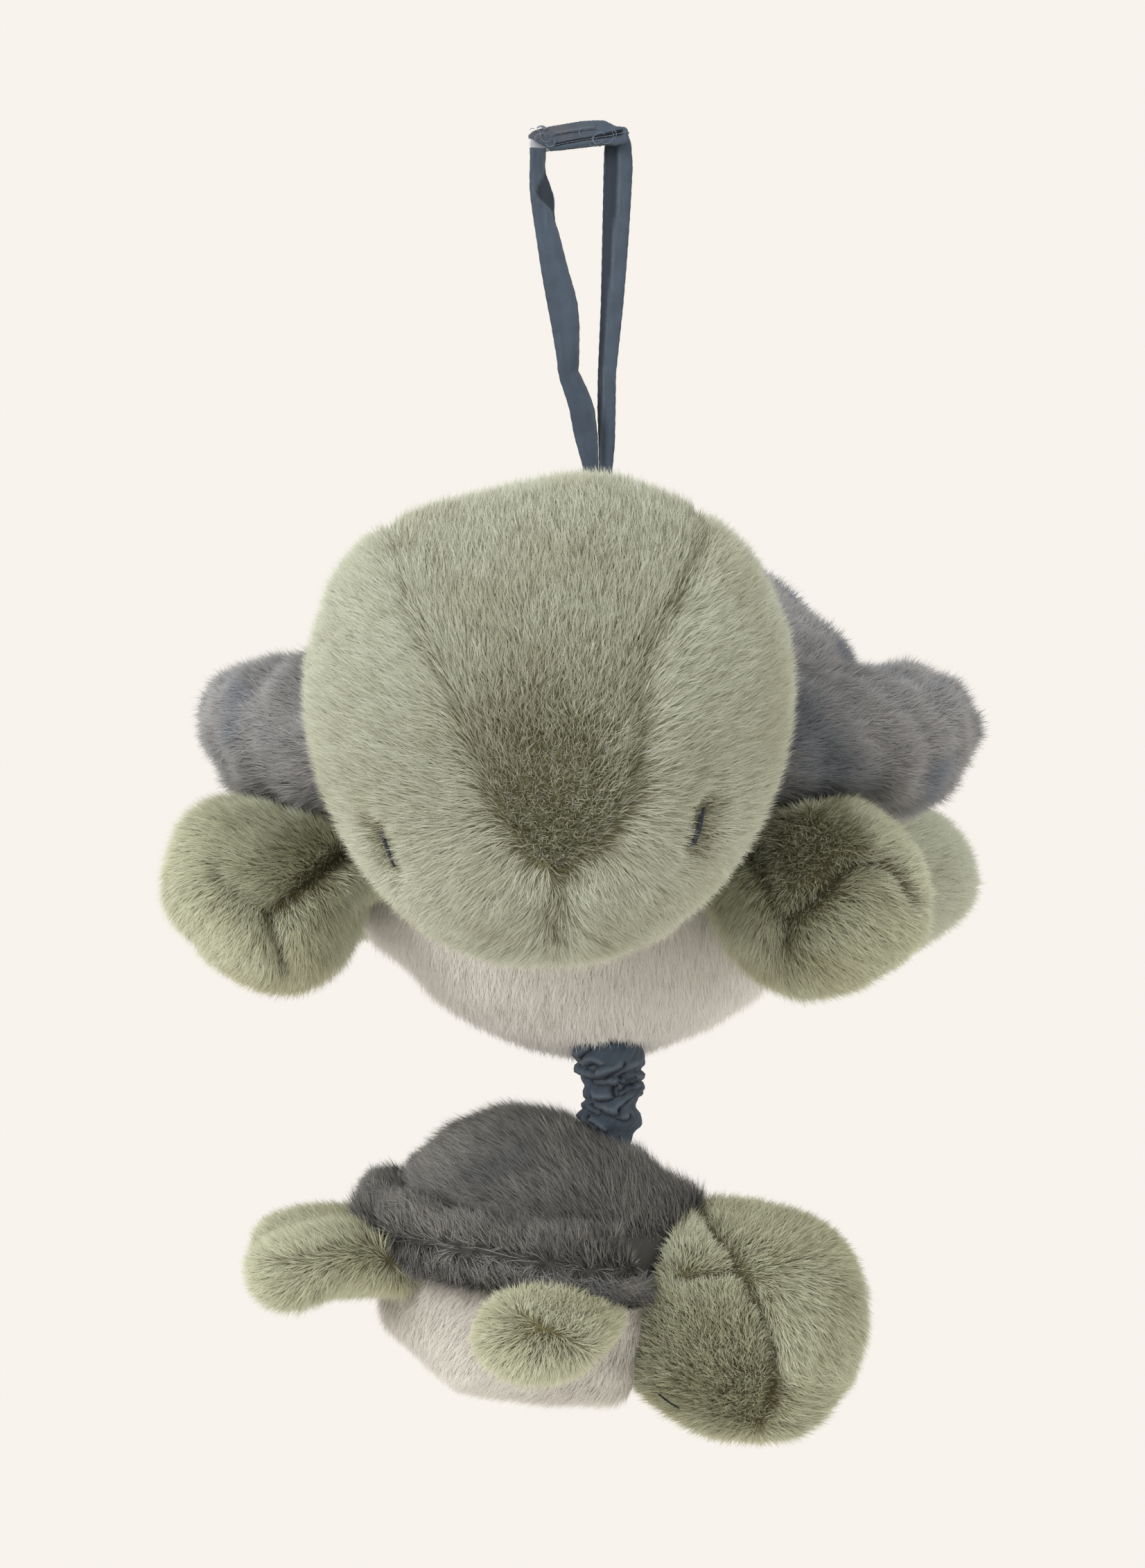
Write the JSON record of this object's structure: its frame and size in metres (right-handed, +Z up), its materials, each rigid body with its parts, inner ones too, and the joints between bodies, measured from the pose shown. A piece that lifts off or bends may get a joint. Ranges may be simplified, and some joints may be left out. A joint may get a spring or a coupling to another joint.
{
  "type": "hanging musical plush turtle",
  "caption": "Hanging plush turtle with a hook-and-loop strap, a pull-string music movement in its belly and a baby turtle on the pull cord.",
  "frame": {"origin": "middle of the lower edge of the strap band's back layer, where the loop bears on the rail it hangs from", "axes": "+Z up, -Y the way the mother turtle faces, +X towards her left side and the way the baby faces"},
  "size_m": [0.2308, 0.3199, 0.3661],
  "materials": {
    "sage_plush": "long sage green pile",
    "grey_plush": "long grey pile with slate tints",
    "cream_plush": "long off-white pile",
    "slate_cloth": "woven slate blue cotton",
    "closure_tape": "hook-and-loop tape",
    "white_tape": "bare woven tape",
    "eye_thread": "blue-black satin stitch",
    "filling": "fibre filling",
    "plastic": "moulded",
    "steel": "stamped",
    "brass": "turned",
    "cord": "braided"
  },
  "bodies": {
    "mother": {"strap_back": "slate_cloth", "strap_front": "slate_cloth", "loop_tape": "closure_tape", "tape_end": "white_tape", "mother_shell": "grey_plush", "mother_rim_roll": "grey_plush", "mother_belly": "cream_plush", "mother_filling": "filling", "mother_head": "sage_plush", "mother_eye_left": "eye_thread", "mother_eye_right": "eye_thread", "belly_grommet": "plastic", "case_front": "plastic", "case_back": "plastic", "case_screw_1": "steel", "case_screw_2": "steel", "case_screw_3": "steel", "bedplate": "steel", "drum_shaft": "steel", "mainspring": "steel", "tone_comb": "steel", "comb_screw_1": "steel", "comb_screw_2": "steel", "cord_spout": "plastic", "cord_inner_run": "cord"},
    "closure": {"closure_flap": "slate_cloth", "hook_tape": "closure_tape"},
    "mother_flipper_front_left": {"mother_flipper_front_left": "sage_plush"},
    "mother_flipper_front_right": {"mother_flipper_front_right": "sage_plush"},
    "mother_flipper_rear_left": {"mother_flipper_rear_left": "sage_plush"},
    "mother_flipper_rear_right": {"mother_flipper_rear_right": "sage_plush"},
    "baby_flipper_front_left": {"baby_flipper_front_left": "sage_plush"},
    "baby_flipper_front_right": {"baby_flipper_front_right": "sage_plush"},
    "baby_flipper_rear_left": {"baby_flipper_rear_left": "sage_plush"},
    "baby_flipper_rear_right": {"baby_flipper_rear_right": "sage_plush"},
    "hem": {"sleeve_hem": "slate_cloth"},
    "sleeve": {"gathered_sleeve": "slate_cloth"},
    "pull_cord": {"cord_hanging_run": "cord", "anchor_washer": "plastic"},
    "baby": {"baby_shell": "grey_plush", "baby_rim_roll": "grey_plush", "baby_belly": "cream_plush", "baby_filling": "filling", "baby_head": "sage_plush", "baby_eye_left": "eye_thread", "baby_eye_right": "eye_thread"},
    "drum": {"spring_drum": "plastic", "cord_winding": "cord"},
    "cylinder": {"tone_cylinder": "brass"},
    "wheel": {"drive_wheel": "brass"},
    "governor": {"governor_fan": "brass"}
  },
  "joints": [
    {"name": "closure_peel", "type": "hinge", "parent": "mother", "child": "closure", "pos_m": [-0.014, -0.0041, 0.0036], "axis": [0, 0, -1], "range_deg": [0, 150]},
    {"name": "mother_flipper_front_left_flap", "type": "hinge", "parent": "mother", "child": "mother_flipper_front_left", "pos_m": [0.05425, -0.00484, -0.194], "axis": [0.9563, 0.2924, 0], "range_deg": [-12, 12], "stiffness_Nm_per_rad": 0.6},
    {"name": "mother_flipper_front_right_flap", "type": "hinge", "parent": "mother", "child": "mother_flipper_front_right", "pos_m": [-0.06337, 0.01785, -0.194], "axis": [0.7771, -0.6293, 0], "range_deg": [-12, 12], "stiffness_Nm_per_rad": 0.6},
    {"name": "mother_flipper_rear_left_flap", "type": "hinge", "parent": "mother", "child": "mother_flipper_rear_left", "pos_m": [0.05221, 0.08955, -0.188], "axis": [-0.7314, 0.682, 0], "range_deg": [-12, 12], "stiffness_Nm_per_rad": 0.6},
    {"name": "mother_flipper_rear_right_flap", "type": "hinge", "parent": "mother", "child": "mother_flipper_rear_right", "pos_m": [-0.03885, 0.09752, -0.188], "axis": [-0.8746, -0.4848, 0], "range_deg": [-12, 12], "stiffness_Nm_per_rad": 0.6},
    {"name": "baby_flipper_front_left_flap", "type": "hinge", "parent": "baby", "child": "baby_flipper_front_left", "pos_m": [-0.00116, 0.05441, -0.3224], "axis": [-0.9131, -0.3746, 0.161], "range_deg": [-12, 12], "stiffness_Nm_per_rad": 0.06},
    {"name": "baby_flipper_front_right_flap", "type": "hinge", "parent": "baby", "child": "baby_flipper_front_right", "pos_m": [-0.00116, -0.01032, -0.3224], "axis": [0.9131, -0.3746, -0.161], "range_deg": [-12, 12], "stiffness_Nm_per_rad": 0.06},
    {"name": "baby_flipper_rear_left_flap", "type": "hinge", "parent": "baby", "child": "baby_flipper_rear_left", "pos_m": [-0.04971, 0.03949, -0.30572], "axis": [-0.3689, -0.9272, 0.0651], "range_deg": [-12, 12], "stiffness_Nm_per_rad": 0.06},
    {"name": "baby_flipper_rear_right_flap", "type": "hinge", "parent": "baby", "child": "baby_flipper_rear_right", "pos_m": [-0.04971, 0.0046, -0.30572], "axis": [0.3689, -0.9272, -0.0651], "range_deg": [-12, 12], "stiffness_Nm_per_rad": 0.06},
    {"name": "baby_swing_front", "type": "hinge", "parent": "mother", "child": "hem", "pos_m": [0.00876, 0.02204, -0.24428], "axis": [1, 0, 0], "range_deg": [-12, 12], "stiffness_Nm_per_rad": 0.03},
    {"name": "baby_swing_side", "type": "hinge", "parent": "hem", "child": "sleeve", "pos_m": [0.00876, 0.02204, -0.24428], "axis": [0, 1, 0], "range_deg": [-12, 12], "stiffness_Nm_per_rad": 0.03, "springref_deg": 6.47},
    {"name": "baby_pull", "type": "slide", "parent": "sleeve", "child": "pull_cord", "axis": [0, 0, -1], "range_m": [0, 0.08], "stiffness_N_per_m": 6, "springref_m": -0.2, "deforming": ["gathered_sleeve", "cord_hanging_run"]},
    {"name": "baby_twist", "type": "hinge", "parent": "pull_cord", "child": "baby", "pos_m": [0.00876, 0.02204, -0.283], "axis": [0, 0, 1], "range_deg": [-90, 90], "stiffness_Nm_per_rad": 0.002},
    {"name": "drum_turn", "type": "hinge", "parent": "mother", "child": "drum", "pos_m": [-0.00124, 0.02252, -0.205], "axis": [0.0872, 0.9962, 0], "range_deg": [0, 460]},
    {"name": "cylinder_turn", "type": "hinge", "parent": "mother", "child": "cylinder", "pos_m": [-0.0104, 0.02332, -0.18907], "axis": [0.0872, 0.9962, 0], "continuous": true},
    {"name": "wheel_turn", "type": "hinge", "parent": "mother", "child": "wheel", "pos_m": [-0.00124, 0.02252, -0.205], "axis": [0.0872, 0.9962, 0], "continuous": true},
    {"name": "governor_turn", "type": "hinge", "parent": "mother", "child": "governor", "pos_m": [-0.00264, 0.02264, -0.18457], "axis": [0.0872, 0.9962, 0], "continuous": true}
  ],
  "couplings": [
    {"joint": "drum_turn", "follows": "baby_pull", "rad_per_m": 96.154},
    {"joint": "wheel_turn", "follows": "cylinder_turn", "ratio": -0.4375},
    {"joint": "governor_turn", "follows": "cylinder_turn", "ratio": -2.75}
  ]
}
